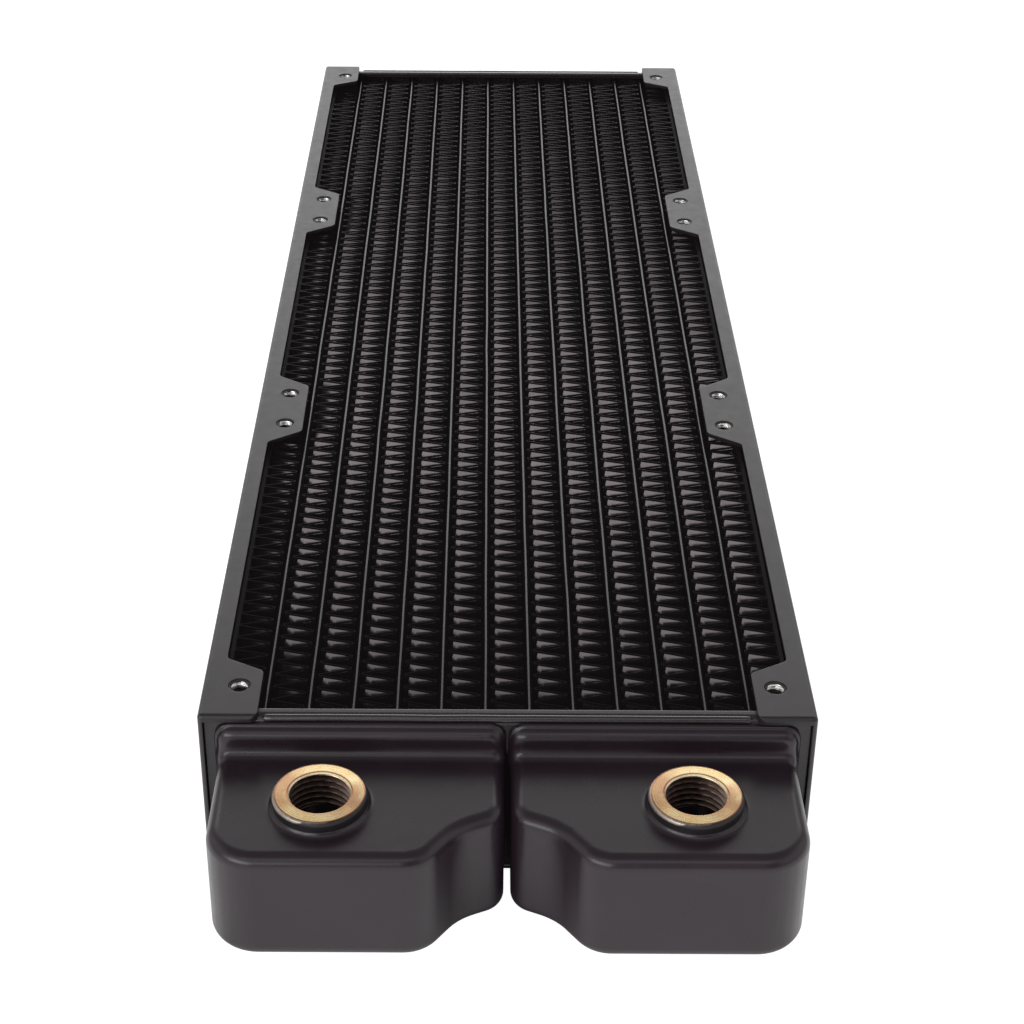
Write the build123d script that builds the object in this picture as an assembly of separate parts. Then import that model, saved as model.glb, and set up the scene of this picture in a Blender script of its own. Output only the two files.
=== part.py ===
from build123d import *
import math
import os

# Liquid cooling radiator for three 120 mm fans in a row.
# Frame: X across, Y along the length (ports at -Y, the front), Z up. The origin
# is the centre of the middle fan's hole pattern on the underside (Z = 0).
# All sizes in millimetres. "|x|" and "|y|" are distances from the centre planes.

os.makedirs("parts", exist_ok=True)

# ---------------------------------------------------------------- overall
THICK = 40.0            # radiator thickness over both fan faces
WIDTH = 119.5           # over the two side frames
FRAME_L = 365.0         # length over the folded end lips of the side frames
FAN_PITCH = 120.0       # fan to fan
HOLE_SP = 105.0         # fan hole spacing, square
HOLE_X = HOLE_SP / 2    # |x| of the fan holes
HOLE_Y = [fan_y + side * HOLE_SP / 2
          for fan_y in (-FAN_PITCH, 0, FAN_PITCH) for side in (-1, 1)]
HEAD_FACE = 181.5       # |y| of the header plates' outer face


# ---------------------------------------------------------------- helpers
def save(name, shape):
    shape.label = name
    export_step(shape, f"parts/{name}.step")


def near(a, b):
    return abs(a - b) < 1e-3


def block(x0, x1, y0, y1, z0, z1):
    return Pos((x0 + x1) / 2, (y0 + y1) / 2, (z0 + z1) / 2) * Box(
        x1 - x0, y1 - y0, z1 - z0)


def round_rect_y(x0, x1, z0, z1, radius, y0, y1):
    """Rounded rectangle in the XZ plane, extruded along +Y from y0 to y1."""
    plane = Plane(origin=((x0 + x1) / 2, y0, (z0 + z1) / 2), x_dir=(1, 0, 0),
                  z_dir=(0, 1, 0))
    return extrude(plane * RectangleRounded(x1 - x0, z1 - z0, radius), y1 - y0)


# ---------------------------------------------------------------- side frames
SHEET = 1.0             # sheet thickness
RAIL_IN = 55.85         # |x| of the rail's inner edge
EAR_IN = 48.2           # |x| of the ears' inner edge
EAR_END_FLAT = 4.8      # end ear: straight edge reaches this far past the hole
EAR_END_SLOPE = 9.0     # end ear: slope meets the rail this far past the hole
EAR_MID_FLAT = 11.3     # middle ear: half length of the straight edge
EAR_MID_SLOPE = 16.5    # middle ear: half length where the slope meets the rail
EAR_R = 1.5             # ear corner radius
LIP_H = 1.55            # height of the folded end lips
BEND_R = 0.9            # outer bend radius
BLANK_IN = 40.0         # |x| of the trimming block's inner side, clear of the ears

NUT_SHANK_R = 2.2       # also the fan hole radius in the frames


def flange_plan():
    """Plan outline of the right-hand rail with its ears, drawn at Z = 0."""
    outer_x, end_y = WIDTH / 2, FRAME_L / 2
    hole_y = HOLE_Y[-1]
    points = [(outer_x, -end_y), (EAR_IN, -end_y),
              (EAR_IN, -hole_y + EAR_END_FLAT), (RAIL_IN, -hole_y + EAR_END_SLOPE)]
    for ear_y in (-FAN_PITCH / 2, FAN_PITCH / 2):
        points += [(RAIL_IN, ear_y - EAR_MID_SLOPE), (EAR_IN, ear_y - EAR_MID_FLAT),
                   (EAR_IN, ear_y + EAR_MID_FLAT), (RAIL_IN, ear_y + EAR_MID_SLOPE)]
    points += [(RAIL_IN, hole_y - EAR_END_SLOPE), (EAR_IN, hole_y - EAR_END_FLAT),
               (EAR_IN, end_y), (outer_x, end_y)]
    face = make_face(Polyline(*points, close=True))
    # every corner is rounded except the two on the outer side
    corners = [v for v in face.vertices() if v.X < outer_x - 1e-3]
    return fillet(corners, EAR_R)


def side_frame():
    """Right-hand frame: two flanges, the side wall and the end lips."""
    outer_x, end_y = WIDTH / 2, FRAME_L / 2
    # solid envelope with the outer bends, used to trim the square-cornered sheet
    envelope = block(BLANK_IN, outer_x, -end_y, end_y, 0, THICK)
    bends = [e for e in envelope.edges()
             if near(e.center().X, outer_x)
             or (near(abs(e.center().Y), end_y)
                 and (near(e.center().Z, 0) or near(e.center().Z, THICK)))]
    envelope = fillet(bends, BEND_R)

    plan = flange_plan()
    sheet = extrude(plan, SHEET)
    sheet += Pos(0, 0, THICK - SHEET) * extrude(plan, SHEET)
    sheet += block(outer_x - SHEET, outer_x, -end_y, end_y, 0, THICK)
    lip = extrude(plan, LIP_H)
    ends = block(BLANK_IN, outer_x, -end_y, -end_y + SHEET, 0, THICK) + block(
        BLANK_IN, outer_x, end_y - SHEET, end_y, 0, THICK)
    sheet += lip & ends
    sheet += (Pos(0, 0, THICK - LIP_H) * lip) & ends

    frame = sheet & envelope
    for y in HOLE_Y:
        frame -= Pos(HOLE_X, y, THICK / 2) * Cylinder(NUT_SHANK_R, THICK + 2)
    return frame.solid()


right_frame = side_frame()
save("side_frame_right", right_frame)
save("side_frame_left", mirror(right_frame, about=Plane.YZ))

# ---------------------------------------------------------------- fan nuts
NUT_BORE_R = 1.62       # M4 thread, drawn at its minor radius
NUT_FLANGE_R = 3.2
NUT_BOTTOM = 37.25      # lower face of the nut flange (upper nuts)
NUT_BORE_CUT = 20.0     # length of the bore's cutting cylinder
NUT_LEAD_IN = 0.3       # width and depth of the bore's lead-in cone


def nut(x, y, up):
    """Clinch nut, thread along Z, outer end flush with the upper or lower fan face."""
    flange_top = THICK - SHEET
    body = Pos(0, 0, (NUT_BOTTOM + flange_top) / 2) * Cylinder(
        NUT_FLANGE_R, flange_top - NUT_BOTTOM)
    body += Pos(0, 0, (NUT_BOTTOM + THICK) / 2) * Cylinder(
        NUT_SHANK_R, THICK - NUT_BOTTOM)
    body -= Pos(0, 0, THICK) * Cylinder(NUT_BORE_R, NUT_BORE_CUT)
    body -= Pos(0, 0, THICK - NUT_LEAD_IN / 2) * Cone(
        NUT_BORE_R, NUT_BORE_R + NUT_LEAD_IN, NUT_LEAD_IN)
    if not up:
        body = mirror(body, about=Plane.XY.offset(THICK / 2))
    return Pos(x, y, 0) * body


for name, up in (("fan_nuts_top", True), ("fan_nuts_bottom", False)):
    nuts = [nut(side * HOLE_X, y, up) for side in (-1, 1) for y in HOLE_Y]
    save(name, Compound(children=nuts))

# ---------------------------------------------------------------- flat tubes
TUBE_N = 12             # tubes per row
TUBE_PITCH = 8.6
TUBE_T = 2.0            # thickness, across X
TUBE_D = 16.0           # depth, along Z
TUBE_WALL = 0.3
TUBE_TOP = 37.2         # top of the upper tube row
TUBE_OUT = HEAD_FACE    # |y| of the tube ends, flush with the header face
TUBE_X = [(-(TUBE_N - 1) / 2 + i) * TUBE_PITCH for i in range(TUBE_N)]
TUBE_Z = [TUBE_TOP - TUBE_D / 2, THICK - TUBE_TOP + TUBE_D / 2]   # upper, lower row


def stadium(x, z, grow, y0, y1):
    """Tube section grown by `grow` on every side, extruded from y0 to y1."""
    plane = Plane(origin=(x, y0, z), x_dir=(0, 0, 1), z_dir=(0, 1, 0))
    return extrude(plane * SlotOverall(TUBE_D + 2 * grow, TUBE_T + 2 * grow), y1 - y0)


for row, z in zip(("upper", "lower"), TUBE_Z):
    for i, x in enumerate(TUBE_X):
        tube = stadium(x, z, 0, -TUBE_OUT, TUBE_OUT)
        tube -= stadium(x, z, -TUBE_WALL, -TUBE_OUT - 1, TUBE_OUT + 1)
        save(f"flat_tube_{row}_{i + 1:02d}", tube)

# ---------------------------------------------------------------- header plates
HEAD_T = 1.2            # plate thickness
HEAD_W = 117.3          # plate width
HEM_IN = 178.3          # |y| of the folded hem's inner edge
HEM_T = 1.6             # hem thickness in Z
HEM_GAP = 1.0           # hem sits this far inside the fan face
HEM_BEND_R = 1.8        # outer radius of the fold
HEM_EDGE_R = 0.5        # radius on the hem's inner edge
SLOT_CLEAR = 0.02       # per side, tube in header slot


def header():
    """Front header plate with a hem folded inwards along its top and bottom."""
    side_x = HEAD_W / 2
    z0, z1 = HEM_GAP, THICK - HEM_GAP
    plate = block(-side_x, side_x, -HEAD_FACE, -HEAD_FACE + HEAD_T, z0, z1)
    plate += block(-side_x, side_x, -HEAD_FACE, -HEM_IN, z1 - HEM_T, z1)
    plate += block(-side_x, side_x, -HEAD_FACE, -HEM_IN, z0, z0 + HEM_T)
    for edge_y, radius in ((-HEAD_FACE, HEM_BEND_R), (-HEM_IN, HEM_EDGE_R)):
        edges = [e for e in plate.edges() if near(e.center().Y, edge_y)
                 and (near(e.center().Z, z0) or near(e.center().Z, z1))]
        plate = fillet(edges, radius)
    for z in TUBE_Z:
        for x in TUBE_X:
            plate -= stadium(x, z, SLOT_CLEAR, -HEAD_FACE - 1, -HEAD_FACE + HEAD_T + 1)
    return plate


front_header = header()
save("header_plate_front", front_header)
save("header_plate_rear", mirror(front_header, about=Plane.XZ))

# ---------------------------------------------------------------- side plates
SIDE_PL_IN = 55.25      # |x| of the core side plate's inner face
SIDE_PL_T = 0.8

side_plate = block(SIDE_PL_IN, SIDE_PL_IN + SIDE_PL_T, -HEAD_FACE + HEAD_T,
                   HEAD_FACE - HEAD_T, THICK - TUBE_TOP, TUBE_TOP)
save("core_side_plate_right", side_plate)
save("core_side_plate_left", mirror(side_plate, about=Plane.YZ))

# ---------------------------------------------------------------- fin strips
FIN_PERIOD = 4.4        # one full wave of the folded strip
FIN_T = 0.16            # sheet thickness
FIN_CREST = 0.5         # flat crest lying against the tube
FIN_REACH = 177.1       # |y| limit for the crest centres
FIN_Z0 = 3.0
FIN_Z1 = THICK - FIN_Z0


def offset_line(points, distance):
    """Open polyline moved sideways by `distance`, with mitred corners."""
    normals = []
    for (ax, ay), (bx, by) in zip(points, points[1:]):
        length = math.hypot(bx - ax, by - ay)
        normals.append((-(by - ay) / length, (bx - ax) / length))
    moved = []
    for i, (x, y) in enumerate(points):
        # one normal at the two ends of the line, two at every other point
        adjacent = normals[max(i - 1, 0):i + 1]
        sum_x = sum(normal[0] for normal in adjacent)
        sum_y = sum(normal[1] for normal in adjacent)
        scale = distance * len(adjacent) / (sum_x ** 2 + sum_y ** 2)
        moved.append((x + sum_x * scale, y + sum_y * scale))
    return moved


def fin_strip(x0, x1):
    """Folded strip: flat crests on alternate sides joined by slanted legs."""
    half_wave = FIN_PERIOD / 2
    legs = int(2 * FIN_REACH // half_wave)
    crest_x = (x0 + FIN_T / 2, x1 - FIN_T / 2)
    middle = []
    for k in range(legs + 1):
        y = -legs * half_wave / 2 + k * half_wave
        middle.append((crest_x[k % 2], y - FIN_CREST / 2))
        middle.append((crest_x[k % 2], y + FIN_CREST / 2))
    outline = offset_line(middle, FIN_T / 2) + offset_line(middle, -FIN_T / 2)[::-1]
    face = make_face(Polyline(*outline, close=True))
    return Pos(0, 0, FIN_Z0) * extrude(face, FIN_Z1 - FIN_Z0)


# the gaps between side plate, tubes and side plate, from -X to +X
gap_starts = [-SIDE_PL_IN] + [x + TUBE_T / 2 for x in TUBE_X]
gap_ends = [x - TUBE_T / 2 for x in TUBE_X] + [SIDE_PL_IN]
for i, (x0, x1) in enumerate(zip(gap_starts, gap_ends)):
    save(f"fin_strip_{i + 1:02d}", fin_strip(x0, x1))

# ---------------------------------------------------------------- tanks
TANK_GAP = 1.3          # clear gap between the two front tanks
TANK_Z0 = 8.1
TANK_Z1 = THICK - TANK_Z0
TANK_X = 55.9           # |x| of the tanks' outer side
TANK_FRONT = 214.4      # |y| of the front tanks' front face
TANK_WALL = 1.5
TANK_EDGE_R = 2.6       # top and bottom edges
REAR_END = 194.5        # y of the return tank's end face
REAR_CORNER_R = 7.5     # return tank's corners in plan

# flange against the header and the raised shoulder on it
FLANGE_T = 1.0
FLANGE_Z = 2.0          # flange edge inside the fan face
FLANGE_X = 56.7         # |x| of the outer side
FLANGE_MID_X = 0.2      # front tanks: |x| of the side near the middle
FLANGE_CORNER_R = 3.4
SHOULDER_Z = 2.5        # shoulder edge inside the fan face
SHOULDER_X = 56.1
SHOULDER_MID_X = 0.55
SHOULDER_CORNER_R = 3.0
SHOULDER_R = 2.0        # radius round the face away from the header
SHOULDER_Y = 184.2      # |y| of the face away from the header
CAVITY_CORNER_R = 1.5
CAVITY_WALL_RATIO = 0.7  # shoulder's end wall as a share of TANK_WALL

# Front tank plan corners, from the middle gap round to the outer side:
# x, y, x and y shift per mm of inset, corner radius, radius change per mm of inset
FRONT_CORNERS = [
    (TANK_GAP / 2, -201.5, 1, 0.8, 3.5, -1),
    (8.9, -205.3, 0.45, 1.1, 5.0, 1),
    (15.4, -TANK_FRONT, 0.55, 1, 6.0, -1),
    (TANK_X, -TANK_FRONT, -1, 1, 9.5, -1),
]

PORT_X, PORT_Y = 35.1, -198.9
SPIGOT_R = 7.8
PORT_CUT = 8.0          # height of the port hole cutter, centred on the tank top


def front_plan(inset):
    corners = [(x + shift_x * inset, y + shift_y * inset, radius + change * inset)
               for x, y, shift_x, shift_y, radius, change in FRONT_CORNERS]
    points = [(TANK_GAP / 2 + inset, -HEAD_FACE)]
    points += [(x, y) for x, y, radius in corners]
    points.append((TANK_X - inset, -HEAD_FACE))
    face = make_face(Polyline(*points, close=True))
    for x, y, radius in corners:
        corner = [v for v in face.vertices() if near(v.X, x) and near(v.Y, y)]
        face = fillet(corner, radius)
    return face


def rear_plan(inset):
    side_x, end_y = TANK_X - inset, REAR_END - inset
    face = make_face(Polyline((-side_x, HEAD_FACE), (-side_x, end_y),
                              (side_x, end_y), (side_x, HEAD_FACE), close=True))
    corners = [v for v in face.vertices() if v.Y > HEAD_FACE + 1]
    return fillet(corners, REAR_CORNER_R - inset)


def hollow_tank(plan, end, shoulder_x0, flange_x0):
    """Tank open towards the header; end is -1 at the front and 1 at the rear.

    plan(inset) gives the plan face; the two x0 values are the -X sides of the
    shoulder and the flange.
    """
    def pad(x0, x1, z0, radius, far_y):
        # rounded plate from the header face out to |y| = far_y
        y0, y1 = sorted((end * HEAD_FACE, end * far_y))
        return round_rect_y(x0, x1, z0, THICK - z0, radius, y0, y1)

    body = Pos(0, 0, TANK_Z0) * extrude(plan(0), TANK_Z1 - TANK_Z0)
    rims = [e for e in body.edges()
            if (near(e.center().Z, TANK_Z0) or near(e.center().Z, TANK_Z1))
            and end * e.center().Y > HEAD_FACE + 0.5]
    body = fillet(rims, TANK_EDGE_R)

    shoulder = pad(shoulder_x0, SHOULDER_X, SHOULDER_Z, SHOULDER_CORNER_R, SHOULDER_Y)
    rim = [e for e in shoulder.edges() if near(end * e.center().Y, SHOULDER_Y)]
    shoulder = fillet(rim, SHOULDER_R)
    flange = pad(flange_x0, FLANGE_X, FLANGE_Z, FLANGE_CORNER_R, HEAD_FACE + FLANGE_T)
    tank = body + shoulder + flange

    wall = TANK_WALL
    cavity = Pos(0, 0, TANK_Z0 + wall) * extrude(
        plan(wall), TANK_Z1 - TANK_Z0 - 2 * wall)
    cavity += pad(shoulder_x0 + wall, SHOULDER_X - wall, SHOULDER_Z + wall,
                  CAVITY_CORNER_R, SHOULDER_Y - wall * CAVITY_WALL_RATIO)
    return tank - cavity


front_tank = hollow_tank(front_plan, -1, SHOULDER_MID_X, FLANGE_MID_X)
front_tank -= Pos(PORT_X, PORT_Y, TANK_Z1) * Cylinder(SPIGOT_R, PORT_CUT)
save("inlet_tank", front_tank)
save("outlet_tank", mirror(front_tank, about=Plane.YZ))
save("return_tank", hollow_tank(rear_plan, 1, -SHOULDER_X, -FLANGE_X))

# ---------------------------------------------------------------- port collars
COLLAR_R = 9.0          # collar outer radius
COLLAR_H = 3.0          # collar height above the tank's top
COLLAR_CHAMFER = 0.6
SPIGOT_DEPTH = 4.5      # spigot depth below the tank's top
PORT_R = 5.7225         # G1/4 thread, drawn at its minor radius
PORT_MOUTH_R = 6.1      # lead-in at the mouth
PORT_BORE_CUT = 30.0    # length of the bore's cutting cylinder
LEAD_IN_H = (PORT_MOUTH_R - PORT_R) * 0.7


def collar():
    ring = Pos(0, 0, TANK_Z1 + COLLAR_H / 2) * Cylinder(COLLAR_R, COLLAR_H)
    top_edge = ring.edges().filter_by(GeomType.CIRCLE).sort_by(Axis.Z)[-1]
    ring = chamfer(top_edge, COLLAR_CHAMFER)
    ring += Pos(0, 0, TANK_Z1 - SPIGOT_DEPTH / 2) * Cylinder(SPIGOT_R, SPIGOT_DEPTH)
    ring -= Pos(0, 0, TANK_Z1) * Cylinder(PORT_R, PORT_BORE_CUT)
    ring -= Pos(0, 0, TANK_Z1 + COLLAR_H - LEAD_IN_H / 2) * Cone(
        PORT_R, PORT_MOUTH_R, LEAD_IN_H)
    return ring


port_collar = collar()
save("port_collar_inlet", Pos(PORT_X, PORT_Y, 0) * port_collar)
save("port_collar_outlet", Pos(-PORT_X, PORT_Y, 0) * port_collar)
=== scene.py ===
"""Liquid-cooling radiator for three 120 mm fans, finished in satin black.

It lies flat: Z is up through its 40 mm thickness, Y runs along the tubes and X
across them. The inlet and outlet tanks, with their threaded ports, are at the
-Y end, and the return tank is at the +Y end. Meshes are laid out in
millimetres; shader coordinates and the stage are in metres.
"""
import math
from fnmatch import fnmatchcase

import bpy
import numpy as np
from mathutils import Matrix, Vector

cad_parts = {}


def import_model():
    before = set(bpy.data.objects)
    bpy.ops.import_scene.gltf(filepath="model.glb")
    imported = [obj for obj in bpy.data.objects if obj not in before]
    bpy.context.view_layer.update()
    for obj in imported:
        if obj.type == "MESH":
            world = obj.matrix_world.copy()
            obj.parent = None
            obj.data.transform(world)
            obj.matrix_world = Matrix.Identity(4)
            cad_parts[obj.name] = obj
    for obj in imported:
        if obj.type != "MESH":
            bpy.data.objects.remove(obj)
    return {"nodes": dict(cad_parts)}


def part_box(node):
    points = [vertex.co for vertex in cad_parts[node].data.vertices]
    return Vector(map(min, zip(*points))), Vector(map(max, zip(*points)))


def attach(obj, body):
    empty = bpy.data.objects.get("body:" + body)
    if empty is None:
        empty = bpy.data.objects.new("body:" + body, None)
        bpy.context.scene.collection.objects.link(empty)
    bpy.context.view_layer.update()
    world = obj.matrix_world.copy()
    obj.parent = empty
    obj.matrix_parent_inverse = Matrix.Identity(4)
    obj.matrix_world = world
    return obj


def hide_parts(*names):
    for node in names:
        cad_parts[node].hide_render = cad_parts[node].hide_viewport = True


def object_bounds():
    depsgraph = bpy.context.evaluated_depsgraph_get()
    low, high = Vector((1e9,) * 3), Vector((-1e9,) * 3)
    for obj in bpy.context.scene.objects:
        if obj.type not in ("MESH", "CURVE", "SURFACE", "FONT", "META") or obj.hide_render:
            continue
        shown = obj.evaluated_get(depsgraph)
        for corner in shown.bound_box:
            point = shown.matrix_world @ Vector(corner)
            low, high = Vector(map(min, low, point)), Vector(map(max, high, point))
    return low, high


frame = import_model()
CAD_BOX = [[float(c) for c in v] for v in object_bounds()]
rng = np.random.default_rng(7)          # shared by the fins and the nuts
MM = 0.001

THICKNESS = 40.0
MID_Z = THICKNESS / 2


# =====================================================================
# mesh helpers, in millimetres
# =====================================================================
class Parts:
    """Gathers separate pieces into one mesh."""

    def __init__(self):
        self.verts, self.quads, self.count = [], [], 0

    def add(self, verts, quads):
        self.verts.append(np.asarray(verts, float))
        self.quads.append(np.asarray(quads) + self.count)
        self.count += len(verts)

    def arrays(self):
        return np.concatenate(self.verts), np.concatenate(self.quads)


def make_object(name, verts, faces, materials, slot, replaces=None, smooth=True,
                mat_index=None, normals=None, origin=(0, 0, 0), sharp_angle=None):
    """Object from an array of quads, riding on the root."""
    origin = np.asarray(origin, float)
    verts = (verts - origin) * MM
    faces = np.asarray(faces, np.int32)
    count, corners = faces.shape
    mesh = bpy.data.meshes.new(name)
    mesh.vertices.add(len(verts))
    mesh.vertices.foreach_set("co", verts.astype(np.float32).ravel())
    mesh.loops.add(count * corners)
    mesh.loops.foreach_set("vertex_index", faces.ravel())
    mesh.polygons.add(count)
    starts = np.arange(0, count * corners, corners, dtype=np.int32)
    mesh.polygons.foreach_set("loop_start", starts)
    mesh.polygons.foreach_set("loop_total", np.full(count, corners, np.int32))
    mesh.update(calc_edges=True)
    for material in materials:
        mesh.materials.append(material)
    if mat_index is not None:
        mesh.polygons.foreach_set("material_index", np.asarray(mat_index, np.int32))
    mesh.polygons.foreach_set("use_smooth", np.full(len(mesh.polygons), smooth))
    mesh.validate()
    if sharp_angle is not None:
        mesh.set_sharp_from_angle(angle=math.radians(sharp_angle))
    if normals is not None:
        mesh.normals_split_custom_set_from_vertices([tuple(n) for n in normals])
    mesh.update()
    ob = bpy.data.objects.new(name, mesh)
    ob.location = tuple(origin * MM)
    bpy.context.scene.collection.objects.link(ob)
    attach(ob, "root")
    if replaces:
        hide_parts(replaces)
    return ob


def box_mm(node):
    """Low and high corner of a CAD node, in millimetres."""
    return np.array([(corner.x, corner.y, corner.z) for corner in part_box(node)]) / MM


def grid_faces(rows, columns, wrap_rows=False, wrap_columns=False):
    """Quads of a grid of points, index = row * columns + column."""
    row, col = np.meshgrid(np.arange(rows if wrap_rows else rows - 1),
                           np.arange(columns if wrap_columns else columns - 1),
                           indexing="ij")
    row2, col2 = (row + 1) % rows, (col + 1) % columns
    return np.stack([row * columns + col, row2 * columns + col,
                     row2 * columns + col2, row * columns + col2], -1).reshape(-1, 4)


def angle_near(angle, middle):
    """The same angle, within half a turn of middle."""
    while angle - middle > math.pi:
        angle -= 2 * math.pi
    while angle - middle < -math.pi:
        angle += 2 * math.pi
    return angle


def polar(radius, angle):
    return radius * np.array([math.cos(angle), math.sin(angle)])


# =====================================================================
# shader helpers
# =====================================================================
NOISE_SPAN = (0.3, 0.7)                 # where most noise values fall


class Shader:
    """Node tree with short calls for the nodes used here."""

    def __init__(self, tree):
        self.tree = tree
        tree.nodes.clear()

    def set_inputs(self, node, inputs):
        """Link sockets; set numbers and RGB tuples as values."""
        for key, value in inputs.items():
            socket = node.inputs[key]
            if isinstance(value, bpy.types.NodeSocket):
                self.tree.links.new(value, socket)
            elif isinstance(value, tuple):
                socket.default_value = (*value, 1)
            else:
                socket.default_value = value

    def node(self, kind, inputs=None, **settings):
        node = self.tree.nodes.new("ShaderNode" + kind)
        for key, value in settings.items():
            setattr(node, key, value)
        self.set_inputs(node, inputs or {})
        return node

    def noise(self, vector, scale, detail=3.0, roughness=0.5, distortion=0.0):
        return self.node("TexNoise", {
            "Scale": scale, "Detail": detail, "Roughness": roughness,
            "Distortion": distortion, "Vector": vector}).outputs[0]

    def noise_1d(self, value, scale, detail):
        return self.node("TexNoise", {"Scale": scale, "Detail": detail, "W": value},
                         noise_dimensions="1D").outputs[0]

    def remap(self, value, span=NOISE_SPAN, to=(0.0, 1.0), clamp=True, curve="LINEAR"):
        return self.node("MapRange", {
            "Value": value, "From Min": span[0], "From Max": span[1],
            "To Min": to[0], "To Max": to[1]},
            clamp=clamp, interpolation_type=curve).outputs["Result"]

    def math(self, operation, first, second=None):
        inputs = {0: first} if second is None else {0: first, 1: second}
        return self.node("Math", inputs, operation=operation).outputs[0]

    def vary(self, noise, amount):
        """Noise centred on zero and scaled."""
        return self.math("MULTIPLY", self.math("SUBTRACT", noise, 0.5), amount)

    def mix(self, factor, first, second):
        return self.node("Mix", {0: factor, 6: first, 7: second},
                         data_type="RGBA").outputs[2]

    def axes(self, vector):
        return self.node("SeparateXYZ", {0: vector}).outputs

    def bump(self, height, strength, distance_mm, normal=None):
        inputs = {"Strength": strength, "Distance": distance_mm * MM, "Height": height}
        if normal is not None:
            inputs["Normal"] = normal
        return self.node("Bump", inputs).outputs[0]


def new_material(name):
    """Material, its shader and its Principled surface."""
    material = bpy.data.materials.new(name)
    material.use_nodes = True
    shader = Shader(material.node_tree)
    output = shader.node("OutputMaterial")
    surface = shader.node("BsdfPrincipled")
    shader.set_inputs(output, {0: surface.outputs[0]})
    return material, shader, surface


# =====================================================================
# materials
# =====================================================================
def scaled(color, factor):
    return tuple(channel * factor for channel in color)


def paint(name, base, roughness, grain_scale, grain_mm, tint=0.25, metallic=0.0,
          specular=0.5, edge_mm=0.0, wear=0.0, level_face_shade=None, end_shading=None, glow=0.0):
    """Satin coating with two scales of orange peel and faint mottling.

    tint: strength of the mottling; edge_mm: rounding of edges, rubbed by wear;
    level_face_shade: painted shade, the tone of faces that look up or down;
    end_shading: painted shade, tones towards the far (+Y) and port (-Y) ends;
    glow: faint emission, painted fill light that lifts the blacks.
    """
    material, shader, surface = new_material(name)
    geometry = shader.node("NewGeometry")
    position = geometry.outputs["Position"]
    mottle = shader.noise(position, scale=60.0, detail=4.0, roughness=0.55)
    peel = shader.noise(position, scale=420.0, detail=3.0, roughness=0.6)
    grain = shader.noise(position, scale=grain_scale, detail=2.0)
    color = shader.mix(shader.remap(mottle), scaled(base, 1 - tint), scaled(base, 1 + tint))
    specks = shader.remap(grain, span=(0.45, 0.75), to=(0.0, 0.35))
    color = shader.mix(specks, color, scaled(base, 1.8))
    normal = None
    if edge_mm:
        normal = shader.node("Bevel", {"Radius": edge_mm * MM}, samples=10).outputs[0]
    if wear:                            # rubbed where the rounded normal turns away
        facing = shader.node("VectorMath", {0: normal, 1: geometry.outputs["Normal"]},
                             operation="DOT_PRODUCT").outputs["Value"]
        rubbed = shader.remap(facing, span=(0.97, 0.80))
        patches = shader.remap(peel, span=(0.35, 0.65), to=(0.2, 1.0))
        rubbed = shader.math("MULTIPLY", rubbed, patches)
        rubbed = shader.math("MULTIPLY", rubbed, wear)
        color = shader.mix(rubbed, color, (0.22, 0.21, 0.20))
    # painted shade: darker towards the far (+Y) end and towards the port (-Y) header
    if end_shading:
        far_shade, port_shade = end_shading
        along = shader.axes(position)[1]
        far = shader.remap(along, span=(-0.16, 0.16))
        color = shader.mix(far, color, scaled(base, far_shade))
        port = shader.remap(along, span=(-0.175, -0.03), to=(1.0, 0.0))
        color = shader.mix(port, color, scaled(base, port_shade))
    # painted shade: faces that look up or down, such as the fin edges, are darkened
    if level_face_shade is not None:
        upward = shader.axes(geometry.outputs["True Normal"])[2]
        rim = shader.remap(shader.math("ABSOLUTE", upward), span=(0.80, 0.95))
        color = shader.mix(rim, color, scaled(base, level_face_shade))
    # painted fill light: a faint pinkish emission that lifts the blacks
    if glow:
        shader.set_inputs(surface, {"Emission Color": (1.0, 0.82, 0.88),
                                    "Emission Strength": glow})
    peel_share = 0.6                    # height of the peel beside the fine grain
    height = shader.math("ADD", shader.math("MULTIPLY", peel, peel_share), grain)
    shader.set_inputs(surface, {
        "Base Color": color,
        "Roughness": shader.remap(peel, to=roughness),
        "Normal": shader.bump(height, strength=1.0, distance_mm=grain_mm, normal=normal),
        "Metallic": metallic,
        "Specular IOR Level": specular})
    return material


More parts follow.
